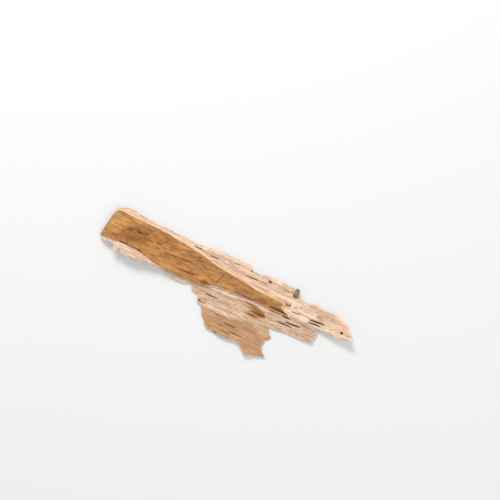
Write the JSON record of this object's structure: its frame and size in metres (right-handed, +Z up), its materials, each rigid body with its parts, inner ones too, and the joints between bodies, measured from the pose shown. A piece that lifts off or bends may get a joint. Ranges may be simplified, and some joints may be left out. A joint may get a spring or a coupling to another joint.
{
  "type": "piece of bark",
  "caption": "Long dry strip of tree bark lying inner face up, split into thin papery leaves with torn edges, a ragged tip and a broad flap on one side.",
  "frame": {"origin": "centre of the strip's footprint, on the surface that it lies on", "axes": "+X runs along the strip from its smooth bent-down end to its ragged tip, +Y towards the thick cream rim and away from the torn flap, +Z up out of the inner face"},
  "size_m": [0.2734, 0.084, 0.0123],
  "materials": {
    "bark": "dry orange-tan inner face, matt pink-cream papery leaves and rims, chalky white outer skin"
  },
  "bodies": {
    "root": {"bark_strip": "bark"}
  },
  "joints": []
}
